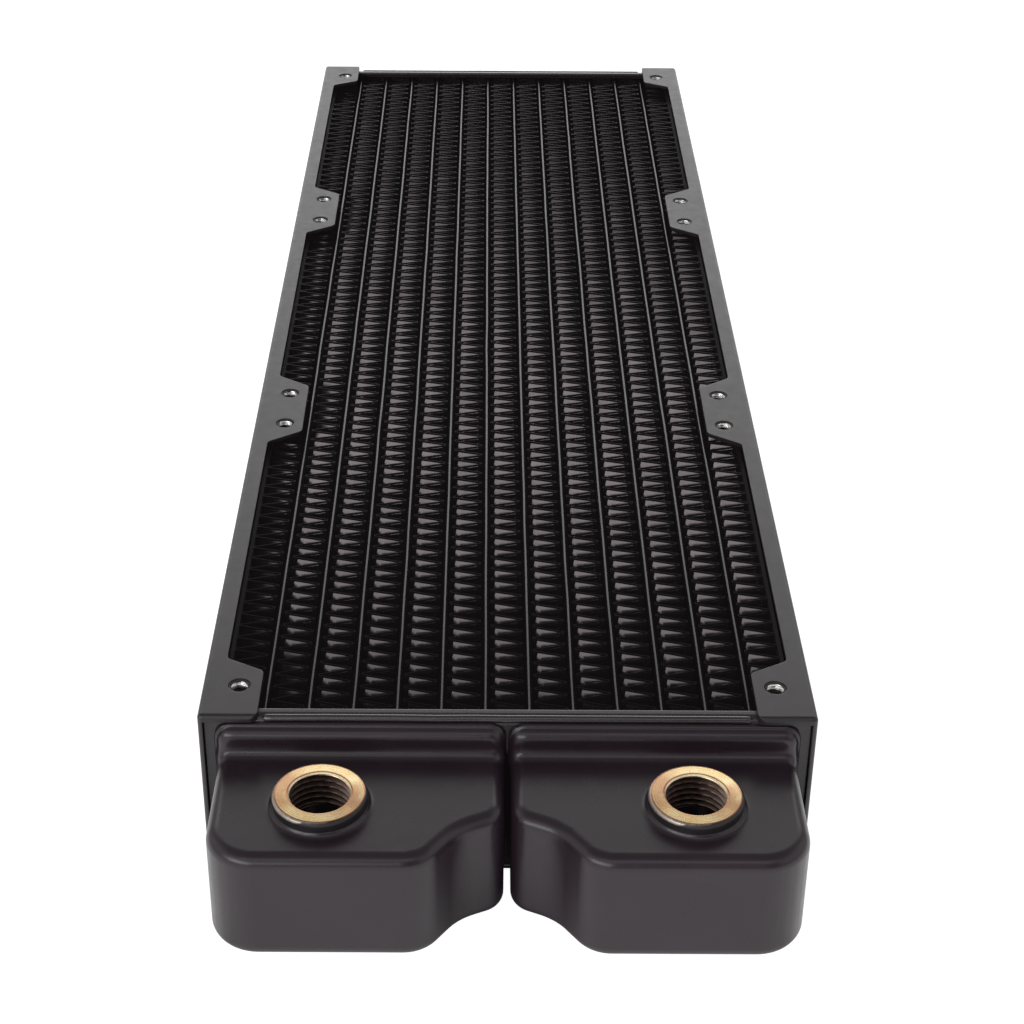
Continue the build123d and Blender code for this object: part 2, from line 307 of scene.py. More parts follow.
def turned_brass(name):
    """Face-turned brass: tool marks round the piece's own axis, uneven colour and painted
    sheen.
    """
    material, shader, surface = new_material(name)
    local = shader.node("TexCoord").outputs["Object"]
    x, y, _ = shader.axes(local)
    square = shader.math("ADD", shader.math("MULTIPLY", x, x), shader.math("MULTIPLY", y, y))
    radius = shader.math("SQRT", square)
    fine_rings = shader.noise_1d(radius, scale=9000.0, detail=3.0)
    broad_rings = shader.noise_1d(radius, scale=1500.0, detail=2.0)
    patches = shader.noise(local, scale=180.0, detail=4.0, roughness=0.6, distortion=0.4)
    spots = shader.noise(local, scale=900.0, detail=3.0, roughness=0.6)

    color = shader.mix(shader.remap(patches), (1.0, 0.72, 0.34), (1.0, 0.95, 0.60))
    ring_tone = shader.remap(broad_rings, span=(0.35, 0.68), to=(0.0, 0.7))
    # the patches are remapped a little more narrowly than other noise
    shader.set_inputs(color.node.inputs[0].links[0].from_node,
                      {"From Min": 0.32, "From Max": 0.68})
    color = shader.mix(ring_tone, color, (0.78, 0.46, 0.22))
    spot_tone = shader.remap(spots, span=(0.62, 0.78), to=(0.0, 0.55))
    color = shader.mix(spot_tone, color, (0.30, 0.16, 0.07))

    # painted reflection: two darker sectors, opposite each other, with wandering borders,
    # standing in for the sheen of the turned face
    bright_angle, sectors, wander = 1.25, 2.0, 2.2
    azimuth = shader.math("ADD", shader.math("ARCTAN2", y, x), shader.vary(patches, wander))
    turn = shader.math("MULTIPLY", shader.math("SUBTRACT", azimuth, bright_angle), sectors)
    painted_sheen = shader.remap(shader.math("COSINE", turn), span=(0.35, -1.0), to=(0.0, 0.80))
    color = shader.mix(painted_sheen, color, (0.52, 0.27, 0.15))

    # darker at the mouth and at the outer rim
    inner = shader.remap(radius, span=(0.00640, 0.00612), to=(0.0, 0.75))
    outer = shader.remap(radius, span=(0.00815, 0.00840), to=(0.0, 0.85))
    color = shader.mix(shader.math("MAXIMUM", inner, outer), color, (0.36, 0.12, 0.05))

    tangent = shader.node("Tangent", direction_type="RADIAL", axis="Z").outputs[0]
    shader.set_inputs(surface, {
        "Base Color": color,
        "Metallic": 1.0,
        "Roughness": shader.remap(fine_rings, to=(0.19, 0.30)),
        "Tangent": tangent,
        "Anisotropic": 0.75,
        "Anisotropic Rotation": 0.25,
        "Normal": shader.bump(fine_rings, strength=0.6, distance_mm=0.012)})
    return material


def plated_thread(name):
    """Plated steel, with painted shade below the first turns in from either face."""
    material, shader, surface = new_material(name)
    local = shader.node("TexCoord").outputs["Object"]
    patches = shader.noise(local, scale=700.0, detail=4.0, roughness=0.6)
    grain = shader.noise(local, scale=3500.0, detail=2.0)
    color = shader.mix(shader.remap(patches), (0.70, 0.68, 0.67), (0.92, 0.90, 0.88))
    middle = MID_Z * MM
    height = shader.axes(shader.node("NewGeometry").outputs["Position"])[2]
    offset = shader.math("ABSOLUTE", shader.math("SUBTRACT", height, middle))
    # painted shade deeper in the hole
    hole_shade = shader.remap(offset, span=(middle - 0.00175, middle - 0.0011), to=(1.0, 0.0))
    shader.set_inputs(surface, {
        "Base Color": shader.mix(hole_shade, color, (0.03, 0.028, 0.028)),
        "Metallic": 1.0,
        "Roughness": shader.remap(grain, to=(0.16, 0.24)),
        "Normal": shader.bump(grain, strength=0.3, distance_mm=0.002)})
    return material


def bore_metal(name):
    """Port thread: dark brown, bare and bright only on the turns by the mouth; the +X side is
    lighter with painted light.
    """
    material, shader, surface = new_material(name)
    local = shader.node("TexCoord").outputs["Object"]
    x, _, z = shader.axes(local)
    patches = shader.noise(local, scale=700.0, detail=4.0, roughness=0.6)
    grain = shader.noise(local, scale=3500.0, detail=2.0)
    border_wander = 0.0008
    depth = shader.math("ADD", z, shader.vary(patches, border_wander))
    bare = shader.remap(depth, span=(-0.0013, -0.0002))
    dark = shader.mix(shader.remap(patches), (0.038, 0.022, 0.019), (0.080, 0.050, 0.043))
    # painted light: the +X wall of the bore is lighter, where the key light falls
    right = shader.remap(x, span=(0.0010, 0.0058))      # lighter on the +X side
    dark = shader.mix(right, dark, (0.34, 0.24, 0.20))
    bright = shader.mix(shader.remap(grain), (0.86, 0.64, 0.40), (1.0, 0.88, 0.62))
    shader.set_inputs(surface, {
        "Base Color": shader.mix(bare, dark, bright),
        "Metallic": 0.85,
        "Roughness": shader.remap(grain, to=(0.26, 0.42)),
        "Normal": shader.bump(grain, strength=0.4, distance_mm=0.006)})
    return material


def collar_edge(name):
    """Collar chamfer: paint, rubbed to bare metal mostly on the -X side."""
    material, shader, surface = new_material(name)
    local = shader.node("TexCoord").outputs["Object"]
    x, _, z = shader.axes(local)
    patches = shader.noise(local, scale=260.0, detail=4.0, roughness=0.6)
    grain = shader.noise(local, scale=2600.0, detail=3.0, roughness=0.6)
    side = shader.remap(x, span=(-0.0090, 0.0035), to=(1.0, 0.0))
    patch_effect = 1.1
    rubbing = shader.math("ADD", side, shader.vary(patches, patch_effect))
    height = shader.remap(z, span=(-0.0008, -0.0001), to=(-0.35, 0.25), clamp=False)
    rubbing = shader.math("ADD", rubbing, height)
    bare = shader.remap(rubbing, span=(0.36, 0.60))
    metal = shader.mix(shader.remap(grain), (0.36, 0.30, 0.26), (0.58, 0.51, 0.44))
    shader.set_inputs(surface, {
        "Base Color": shader.mix(bare, (0.016, 0.012, 0.014), metal),
        "Metallic": bare,
        "Roughness": shader.remap(grain, to=(0.38, 0.52)),
        "Normal": shader.bump(grain, strength=0.5, distance_mm=0.008)})
    return material


# the glow on these paints is painted fill light; the end and level-face tones are painted
# shade
FRAME_PAINT = paint("frame_powder_coat", base=(0.0152, 0.0108, 0.0136),
                    roughness=(0.36, 0.44), grain_scale=2100.0, grain_mm=0.010,
                    edge_mm=0.22, wear=0.12)
HEADER_PAINT = paint("header_paint", base=(0.0145, 0.0108, 0.0130),
                     roughness=(0.24, 0.29), grain_scale=2100.0, grain_mm=0.002,
                     edge_mm=0.30, glow=0.002)
TANK_PAINT = paint("tank_satin_paint", base=(0.0125, 0.0060, 0.0104),
                   roughness=(0.27, 0.33), grain_scale=1800.0, grain_mm=0.005, glow=0.0022)
FIN_PAINT = paint("fin_paint", base=(0.066, 0.057, 0.059),
                  roughness=(0.13, 0.20), grain_scale=3000.0, grain_mm=0.003,
                  tint=0.22, metallic=0.88, specular=0.12,
                  level_face_shade=0.02, end_shading=(0.24, 0.44), glow=0.0042)
BEAD_PAINT = paint("hem_lip_paint", base=(0.0150, 0.0112, 0.0132),
                   roughness=(0.20, 0.25), grain_scale=1500.0, grain_mm=0.0008,
                   specular=0.85)
TUBE_PAINT = paint("tube_paint", base=(0.078, 0.073, 0.073),
                   roughness=(0.24, 0.32), grain_scale=2400.0, grain_mm=0.008,
                   tint=0.16, metallic=1.0, end_shading=(0.15, 0.62), glow=0.003)
CORE_PAINT = paint("core_plate_paint", base=(0.0050, 0.0042, 0.0046),
                   roughness=(0.55, 0.70), grain_scale=1800.0, grain_mm=0.010,
                   specular=0.15, glow=0.0040)
COLLAR_PAINT = paint("collar_paint", base=(0.0125, 0.0105, 0.0120),
                     roughness=(0.28, 0.36), grain_scale=1800.0, grain_mm=0.006)
BRASS = turned_brass("brass_turned_face")
COLLAR_EDGE = collar_edge("collar_worn_edge")
PORT_THREAD = bore_metal("brass_thread")
NUT_THREAD = plated_thread("plated_thread")
NUT_PAINT = paint("nut_paint", base=(0.012, 0.0105, 0.0115),
                  roughness=(0.42, 0.55), grain_scale=2400.0, grain_mm=0.012)


# =====================================================================
# materials of the CAD nodes
# =====================================================================
NODE_MATERIALS = (
    ("side_frame*", FRAME_PAINT),
    ("header_plate*", HEADER_PAINT),
    ("core_side*", CORE_PAINT),
    ("flat_tube*", TUBE_PAINT),
    ("fin_strip*", FIN_PAINT),
    ("*_tank", TANK_PAINT),
    ("port_collar*", BRASS),
    ("fan_nuts*", NUT_PAINT),
)


def dress(node, material):
    slots = frame["nodes"][node].data.materials
    if len(slots) == 0:
        slots.append(material)
    for i in range(len(slots)):
        slots[i] = material


for node_name in frame["nodes"]:
    for pattern, node_material in NODE_MATERIALS:
        if fnmatchcase(node_name, pattern):
            dress(node_name, node_material)
            break


# =====================================================================
# folded fin strips with louvres
# =====================================================================
FIN_HALF_PERIOD = 4.3 / 2               # Y distance from one crest to the next
FIN_SHEET = 0.09
FIN_END_GAP = 0.6                       # free length at both ends of a strip
FIN_SIDE_GAP = 0.01                     # between a crest and the strip's box
CREST_RADIUS = 0.26                     # to the middle of the sheet
CREST_MARGIN = 0.70                     # plain sheet beside each crest
CREST_JITTER = 0.07
SELVAGE = 0.46                          # plain band along both edges of a leg
SELVAGE_OVERLAP = 0.06                  # of the plain bands with the crest margin
LOUVRE_OVERLAP = 0.02
LOUVRE_COUNT = 4                        # per fan side
LOUVRE_PITCH = 1.25
LOUVRE_TILT = 0.62
LOUVRE_JITTER = 0.010
LOUVRE_SHEET = 0.8                      # share of the sheet thickness
# start of the fold in each strip, as a share of the length left over
FIN_PHASES = (0.15, 0.6, 0.35, 0.8, 0.5, 0.1, 0.7, 0.3, 0.9, 0.45, 0.2, 0.65, 0.4)
BOX_QUADS = np.array([[0, 3, 2, 1], [4, 5, 6, 7], [0, 1, 5, 4], [1, 2, 6, 5],
                      [2, 3, 7, 6], [3, 0, 4, 7]])


def slat(start, end, normal, sheet, z0, z1, tilt=0.0):
    """Corners of a thin slat between two plan points; tilt is how far its upper
    edge lies beyond its lower edge along the plan normal."""
    corners = []
    for z, lean in ((z0, -0.5), (z1, 0.5)):
        for point, face in ((start, -1), (end, -1), (end, 1), (start, 1)):
            x, y = point + normal * (face * sheet / 2 + lean * tilt)
            corners.append((x, y, z))
    return corners


def fin_leg_line(center, next_center):
    """Start, end and direction of the leg tangent to two neighbouring crests,
    leaving the first on its +Y side."""
    across = next_center - center
    spread = math.acos(2 * CREST_RADIUS / np.linalg.norm(across))
    heading = math.atan2(across[1], across[0])
    angle = max((heading - spread, heading + spread), key=math.sin)
    start = center + polar(CREST_RADIUS, angle)
    end = next_center - polar(CREST_RADIUS, angle)
    return start, end, (end - start) / np.linalg.norm(end - start)


def fin_crest(center, side, arriving, leaving, z0, z1):
    """Bent sheet round one crest, with a plain margin into both legs; the first
    and last crests of a strip end in a short straight tail."""
    if arriving:
        _, touch, direction = arriving
        path = [touch - direction * CREST_MARGIN]
        angle0 = math.atan2(*(touch - center)[::-1])
    else:
        path = [center + np.array([-side * CREST_MARGIN, -CREST_RADIUS])]
        angle0 = -math.pi / 2
    if leaving:
        touch, _, direction = leaving
        tail = touch + direction * CREST_MARGIN
        angle1 = math.atan2(*(touch - center)[::-1])
    else:
        tail = center + np.array([-side * CREST_MARGIN, CREST_RADIUS])
        angle1 = math.pi / 2
    outward = 0.0 if side > 0 else math.pi
    angle0, angle1 = angle_near(angle0, outward), angle_near(angle1, outward)
    for share in np.linspace(0, 1, 7):
        path.append(center + polar(CREST_RADIUS, angle0 + (angle1 - angle0) * share))
    path = np.array(path + [tail])

    tangent = np.gradient(path, axis=0)
    tangent /= np.linalg.norm(tangent, axis=1)[:, None]
    offset = np.stack([-tangent[:, 1], tangent[:, 0]], 1) * FIN_SHEET / 2
    ring = np.concatenate([path + offset, (path - offset)[::-1]])
    count = len(ring)
    verts = np.concatenate([np.c_[ring, np.full(count, z)] for z in (z0, z1)])
    quads = []
    for j in range(count):
        after = (j + 1) % count
        quads.append([j, after, after + count, j + count])
    for j in range(len(path) - 1):
        quads.append([j + 1, j, count - 1 - j, count - 2 - j])
        quads.append([j + count, j + 1 + count, 2 * count - 2 - j, 2 * count - 1 - j])
    return verts, quads


def add_fin_leg(parts, leg, side, z0, z1):
    """Plain edge bands, louvres near both fan sides and a plain middle."""
    start, end, direction = leg
    normal = np.array([-direction[1], direction[0]])
    if normal[1] < 0:
        normal = -normal                # towards +Y

    def trimmed(overlap):
        inset = direction * (CREST_MARGIN - overlap)
        return start + inset, end - inset

    plain, louvre = trimmed(SELVAGE_OVERLAP), trimmed(LOUVRE_OVERLAP)

    def add_plain(low, high):
        parts.add(slat(*plain, normal, FIN_SHEET, low, high), BOX_QUADS)

    def add_louvre(low, high, tilt):
        parts.add(slat(*louvre, normal, FIN_SHEET * LOUVRE_SHEET, low, high, tilt), BOX_QUADS)

    add_plain(z1 - SELVAGE, z1)
    add_plain(z0, z0 + SELVAGE)
    top, bottom = z1 - SELVAGE - 0.03, z0 + SELVAGE + 0.03
    slit = 0.08                         # open height between louvres
    for j in range(LOUVRE_COUNT):
        # louvres lean the other way on every second leg
        tilt = (LOUVRE_TILT + rng.normal(0, LOUVRE_JITTER)) * side
        add_louvre(top - (j + 1) * LOUVRE_PITCH + slit, top - j * LOUVRE_PITCH, tilt)
        add_louvre(bottom + j * LOUVRE_PITCH, bottom + (j + 1) * LOUVRE_PITCH - slit, tilt)
    band = LOUVRE_COUNT * LOUVRE_PITCH
    add_plain(bottom + band + 0.1, top - band - 0.1)


def fin_strip(index, phase):
    node = f"fin_strip_{index + 1:02d}"
    (x0, y0, z0), (x1, y1, z1) = box_mm(node)
    usable = y1 - y0 - 2 * FIN_END_GAP
    legs_count = int(usable // FIN_HALF_PERIOD)
    start = y0 + FIN_END_GAP + phase * (usable - legs_count * FIN_HALF_PERIOD)
    ys = start + FIN_HALF_PERIOD * np.arange(legs_count + 1)
    drift = 0.10 * np.sin(np.arange(1, legs_count) * 0.21 + index * 1.7)
    ys[1:-1] += rng.normal(0, CREST_JITTER, legs_count - 1) + drift

    inset = FIN_SHEET / 2 + FIN_SIDE_GAP + CREST_RADIUS
    sides = [1 if i % 2 == 0 else -1 for i in range(legs_count + 1)]    # +X first
    centers = [np.array([x1 - inset if side > 0 else x0 + inset, y])
               for side, y in zip(sides, ys)]
    legs = [fin_leg_line(*pair) for pair in zip(centers, centers[1:])]

    parts = Parts()
    for center, side, arriving, leaving in zip(centers, sides, [None] + legs, legs + [None]):
        parts.add(*fin_crest(center, side, arriving, leaving, z0, z1))
    for leg, side in zip(legs, sides):
        add_fin_leg(parts, leg, side, z0, z1)
    verts, quads = parts.arrays()
    verts[:, 0] = np.clip(verts[:, 0], x0, x1)
    make_object(node + "_louvred", verts, quads, [FIN_PAINT], slot="fin_black",
                replaces=node, smooth=False)


for strip_index, strip_phase in enumerate(FIN_PHASES):
    fin_strip(strip_index, strip_phase)


# =====================================================================
# flat tubes: drawn-out noses, faintly wavy along their length
# =====================================================================
TUBE_WALL = 0.3
TUBE_NOSE_WALL = 0.6
TUBE_TIP_RADIUS = 0.30
TUBE_FLANK = math.radians(70)
TUBE_STATIONS = 74                      # along Y
TUBE_WAVE = 0.035                       # sideways deviation
TUBE_SAG = 0.10                         # most the upper nose is lowered


def half_nose(half_width):
    """(x, z) from the tip to the flat: a small tip arc, a steep flank, then a
    soft shoulder."""
    points = [(TUBE_TIP_RADIUS * math.sin(angle),
               TUBE_TIP_RADIUS * math.cos(angle) - TUBE_TIP_RADIUS)
              for angle in np.linspace(0, TUBE_FLANK, 8)]
    arc_x, arc_z = points[-1]
    run = half_width - arc_x
    drop = math.tan(TUBE_FLANK)
    shoulder_z = arc_z - run * 0.62 * drop
    points += [
        (arc_x + run * 0.31, arc_z - run * 0.31 * drop),
        (arc_x + run * 0.62, shoulder_z),
        (arc_x + run * 0.84, shoulder_z - run * 0.75),
        (half_width * 0.985, shoulder_z - run * 1.55),
        (half_width, shoulder_z - run * 2.6),
    ]
    return np.array(points)


def flat_tube(node, seed):
    low, high = box_mm(node)
    center_x, _, center_z = (low + high) / 2
    half_width = (high[0] - low[0]) / 2
    half_height = (high[2] - low[2]) / 2
    nose = half_nose(half_width)

    def loop(width, cut):
        half = nose * [width / half_width, 1.0] + [0.0, half_height - cut]
        upper = np.concatenate([half[::-1], half[1:] * [-1, 1]])
        return np.concatenate([upper, -upper])

    profiles = (loop(half_width, 0.0), loop(half_width - TUBE_WALL, TUBE_NOSE_WALL))
    tube_rng = np.random.default_rng(seed)
    stations = np.arange(TUBE_STATIONS)
    last = TUBE_STATIONS - 1
    wave = np.interp(stations, np.linspace(0, last, 26), tube_rng.normal(0, TUBE_WAVE, 26))
    sag = np.interp(stations, np.linspace(0, last, 20), tube_rng.uniform(0, TUBE_SAG, 20))
    wave[[0, -1]] = 0
    sag[[0, -1]] = 0
    count = len(profiles[0])
    rings = []                          # outer and inner ring at each station
    for i, y in enumerate(np.linspace(low[1], high[1], TUBE_STATIONS)):
        for profile in profiles:
            ring = profile.copy()
            ring[:, 0] += wave[i]
            ring[ring[:, 1] > 0, 1] -= sag[i]
            rings.append(np.c_[ring[:, 0] + center_x, np.full(count, y),
                               ring[:, 1] + center_z])

    sheet = grid_faces(TUBE_STATIONS, count, wrap_columns=True)
    station, around = sheet // count, sheet % count
    quads = [station * 2 * count + around,
             ((station * 2 + 1) * count + around)[:, ::-1]]
    j = np.arange(count)
    after = (j + 1) % count
    for i, turn in ((0, 1), (last, -1)):        # wall at both ends
        outer, inner = i * 2 * count, (i * 2 + 1) * count
        end = np.stack([outer + j, outer + after, inner + after, inner + j], 1)
        quads.append(end[:, ::turn])
    make_object(node + "_drawn", np.concatenate(rings), np.concatenate(quads), [TUBE_PAINT],
                slot="tube_black", replaces=node, sharp_angle=50)


for tube_row, first_seed in (("upper", 100), ("lower", 150)):
    for i in range(12):
        flat_tube(f"flat_tube_{tube_row}_{i + 1:02d}", first_seed + i)


# =====================================================================
# distance fields
# =====================================================================
def polygon_distance(px, py, polygon):
    """Signed distance to a closed polygon, negative inside."""
    square = np.full(px.shape, 1e9)
    inside = np.zeros(px.shape, bool)
    for (ax, ay), (bx, by) in zip(polygon, polygon[1:] + polygon[:1]):
        edge_x, edge_y = bx - ax, by - ay
        from_x, from_y = px - ax, py - ay
        share = (from_x * edge_x + from_y * edge_y) / (edge_x * edge_x + edge_y * edge_y)
        share = np.clip(share, 0, 1)
        dx, dy = from_x - edge_x * share, from_y - edge_y * share
        square = np.minimum(square, dx * dx + dy * dy)
        rise = (by - ay) or 1e-12       # a level edge is never crossed
        crossed = ((ay > py) != (by > py)) & (px < (bx - ax) * (py - ay) / rise + ax)
        inside ^= crossed
    distance = np.sqrt(square)
    return np.where(inside, -distance, distance)


def fillet_polygon(corners, steps=36):
    """Polygon from (x, y, fillet radius) corners; radius 0 stays sharp."""
    points = []
    for i, (x, y, radius) in enumerate(corners):
        corner = np.array([x, y], float)
        if radius <= 0:
            points.append(tuple(corner))
            continue
        back = np.array(corners[i - 1][:2], float) - corner
        ahead = np.array(corners[(i + 1) % len(corners)][:2], float) - corner
        back /= np.linalg.norm(back)
        ahead /= np.linalg.norm(ahead)
        half = math.acos(np.clip(back @ ahead, -1, 1)) / 2
        reach = radius / math.tan(half)
        bisector = (back + ahead) / np.linalg.norm(back + ahead)
        center = corner + bisector * (radius / math.sin(half))
        start, end = corner + back * reach, corner + ahead * reach
        angle0 = math.atan2(*(start - center)[::-1])
        angle1 = angle_near(math.atan2(*(end - center)[::-1]), angle0)
        for share in np.linspace(0, 1, steps):
            angle = angle0 + (angle1 - angle0) * share
            points.append((center[0] + radius * math.cos(angle),
                           center[1] + radius * math.sin(angle)))
    return points


def smooth_union(first, second, blend):
    share = np.clip(0.5 + 0.5 * (second - first) / blend, 0, 1)
    return second * (1 - share) + first * share - blend * share * (1 - share)


def corner_distance(first, second, radius):
    """Overlap of two distances with the edge between them rounded."""
    first, second = first + radius, second + radius
    outside = np.sqrt(np.maximum(first, 0) ** 2 + np.maximum(second, 0) ** 2)
    return np.minimum(np.maximum(first, second), 0) + outside - radius


def rectangle_distance(px, pz, x_range, z_range, radius):
    (x0, x1), (z0, z1) = x_range, z_range
    past_x = np.abs(px - (x0 + x1) / 2) - (x1 - x0) / 2 + radius
    past_z = np.abs(pz - (z0 + z1) / 2) - (z1 - z0) / 2 + radius
    outside = np.sqrt(np.maximum(past_x, 0) ** 2 + np.maximum(past_z, 0) ** 2)
    return np.minimum(np.maximum(past_x, past_z), 0) + outside - radius


def surface_nets(field, low, high, cell):
    """Points, quads and normals of the field's zero surface."""
    axes = [np.arange(start, end + cell, cell) for start, end in zip(low, high)]
    values = field(*np.meshgrid(*axes, indexing="ij"))
    inside = values < 0
    nx, ny, nz = values.shape
    total = np.zeros((nx - 1, ny - 1, nz - 1, 3))
    crossings = np.zeros((nx - 1, ny - 1, nz - 1))
    corners = [(a, b, c) for a in (0, 1) for b in (0, 1) for c in (0, 1)]

    def at_corner(corner):
        a, b, c = corner
        return values[a:a + nx - 1, b:b + ny - 1, c:c + nz - 1]

    # one point per cell: the mean of the crossings on its edges
    for i in range(8):
        for j in range(i + 1, 8):
            if sum(abs(a - b) for a, b in zip(corners[i], corners[j])) != 1:
                continue
            first, second = at_corner(corners[i]), at_corner(corners[j])
            crosses = (first < 0) != (second < 0)
            share = np.where(crosses, first / np.where(crosses, first - second, 1), 0)
            for axis in range(3):
                step = corners[j][axis] - corners[i][axis]
                total[..., axis] += crosses * (corners[i][axis] + share * step)
            crossings += crosses
    live = crossings > 0
    index = -np.ones(live.shape, np.int64)
    index[live] = np.arange(live.sum())
    mean = total[live] / crossings[live][:, None]
    points = (np.argwhere(live) + mean) * cell + np.array(low)

    # one quad round each grid edge that crosses the surface
    faces = []
    for axis in range(3):
        side, other = (axis + 1) % 3, (axis + 2) % 3
        before, after = [slice(None)] * 3, [slice(None)] * 3
        before[axis], after[axis] = slice(0, -1), slice(1, None)
        starts_in = inside[tuple(before)]
        edges = np.argwhere(starts_in != inside[tuple(after)])
        edges = edges[(edges[:, side] > 0) & (edges[:, other] > 0)
                      & (edges[:, side] < values.shape[side] - 1)
                      & (edges[:, other] < values.shape[other] - 1)]
        outward = starts_in[tuple(edges.T)]
        around = []
        for side_step, other_step in ((-1, -1), (0, -1), (0, 0), (-1, 0)):
            cells = edges.copy()
            cells[:, side] += side_step
            cells[:, other] += other_step
            around.append(index[tuple(cells.T)])
        quads = np.stack(around, 1)
        quads[~outward] = quads[~outward][:, ::-1]
        faces.append(quads)
    faces = np.concatenate(faces)
    faces = faces[(faces >= 0).all(1)]

    def gradient(at):
        reach = 0.02
        x, y, z = at.T
        return np.stack([field(x + reach, y, z) - field(x - reach, y, z),
                         field(x, y + reach, z) - field(x, y - reach, z),
                         field(x, y, z + reach) - field(x, y, z - reach)], 1) / (2 * reach)

    for _ in range(3):                  # pull the points onto the surface
        slope = gradient(points)
        step = field(*points.T) / np.maximum((slope * slope).sum(1), 0.3)
        points = points - slope * np.clip(step, -0.3 * cell, 0.3 * cell)[:, None]
    normals = gradient(points)
    normals /= np.maximum(np.linalg.norm(normals, axis=1), 1e-9)[:, None]
    return points, faces, normals


# =====================================================================
# tanks
# =====================================================================
HEADER_Y = 181.5                        # open face of every tank, from the middle
ROOT_Y = HEADER_Y - 6                   # shapes start here and are cut at HEADER_Y
BODY_BOTTOM, BODY_TOP = 8.1, 31.9
BODY_ROUND = 2.6
TANK_WALL = 1.6
TANK_SIDE = 55.9                        # outer side of the bodies
SHOULDER_SIDE, SHOULDER_INSET = 56.15, 2.5      # raised band beside the header
SHOULDER_DEPTH, SHOULDER_ROUND = 2.7, 2.1
FLANGE_SIDE, FLANGE_INSET = 56.7, 2.0           # thin plate against the header
FLANGE_DEPTH, FLANGE_ROUND = 1.0, 0.45
PORT_X, PORT_Y = 35.1, -198.9
BOSS_RADIUS, BOSS_HEIGHT, BOSS_ROUND = 9.02, 0.9, 0.3
PORT_HOLE_RADIUS = 7.85
FRONT_END, RETURN_END = -214.4, 194.5
FRONT_CELL, RETURN_CELL = 0.5, 0.55     # grid of the surface nets

# plan outlines: x, y, fillet radius
FRONT_OUTLINE = fillet_polygon([
    (0.65, -ROOT_Y, 0), (0.65, -201.5, 5.0), (8.9, -205.3, 12.0),
    (15.4, FRONT_END, 8.0), (TANK_SIDE, FRONT_END, 9.5), (TANK_SIDE, -ROOT_Y, 0)])
RETURN_OUTLINE = fillet_polygon([
    (-TANK_SIDE, ROOT_Y, 0), (-TANK_SIDE, RETURN_END, 7.5),
    (TANK_SIDE, RETURN_END, 7.5), (TANK_SIDE, ROOT_Y, 0)])


def tank_field(outline, shoulder_x, flange_x, end, mirror=1, port=False):
    """Hollow tank open towards the header; end is the sign of Y it points to."""

    def field(x, y, z):
        x = x * mirror
        out = y * end
        if x.ndim == 1:
            plan = polygon_distance(x, y, outline)
        else:                           # the plan is the same at every height
            plan = polygon_distance(x[:, :, 0], y[:, :, 0], outline)
            plan = np.repeat(plan[:, :, None], x.shape[2], 2)
        height = np.abs(z - MID_Z) - (BODY_TOP - BODY_BOTTOM) / 2
        shape = corner_distance(plan, height, BODY_ROUND)
        section = rectangle_distance(
            x, z, shoulder_x, (SHOULDER_INSET, THICKNESS - SHOULDER_INSET), 3.2)
        length = np.maximum(out - (HEADER_Y + SHOULDER_DEPTH), ROOT_Y - out)
        shape = smooth_union(shape, corner_distance(section, length, SHOULDER_ROUND), 2.4)
        if port:
            from_port = np.sqrt((x - PORT_X) ** 2 + (y - PORT_Y) ** 2)
            rise = np.maximum(z - (BODY_TOP + BOSS_HEIGHT), MID_Z - z)
            boss = corner_distance(from_port - BOSS_RADIUS, rise, BOSS_ROUND)
            shape = smooth_union(shape, boss, 1.3)
        section = rectangle_distance(
            x, z, flange_x, (FLANGE_INSET, THICKNESS - FLANGE_INSET), 3.4)
        length = np.maximum(out - HEADER_Y - FLANGE_DEPTH, ROOT_Y - out)
        shape = smooth_union(shape, corner_distance(section, length, FLANGE_ROUND), 0.35)
        cavity = corner_distance(plan + TANK_WALL, height + TANK_WALL, 1.6)
        shape = np.maximum(shape, -cavity)
        shape = np.maximum(shape, HEADER_Y - out)
        if port:
            hole = np.maximum(from_port - PORT_HOLE_RADIUS, MID_Z - z)
            shape = np.maximum(shape, -hole)
        return shape
    return field


def tank(node, field, low, high, cell):
    points, faces, normals = surface_nets(field, low, high, cell)
    make_object(node + "_shell", points, faces, [TANK_PAINT], slot="tank_black",
                replaces=node, normals=normals)


for tank_node, mirror, low_x, high_x in (("inlet_tank", 1, -1.0, 58.0),
                                         ("outlet_tank", -1, -58.0, 1.0)):
    front_field = tank_field(FRONT_OUTLINE, (0.55, SHOULDER_SIDE), (0.2, FLANGE_SIDE),
                             end=-1, mirror=mirror, port=True)
    tank(tank_node, front_field, low=(low_x, -216.0, 0.6), high=(high_x, -180.6, 39.4),
         cell=FRONT_CELL)
return_field = tank_field(RETURN_OUTLINE, (-SHOULDER_SIDE, SHOULDER_SIDE),
                          (-FLANGE_SIDE, FLANGE_SIDE), end=1)
tank("return_tank", return_field, low=(-58, 180.6, 0.6), high=(58, 196, 39.4),
     cell=RETURN_CELL)


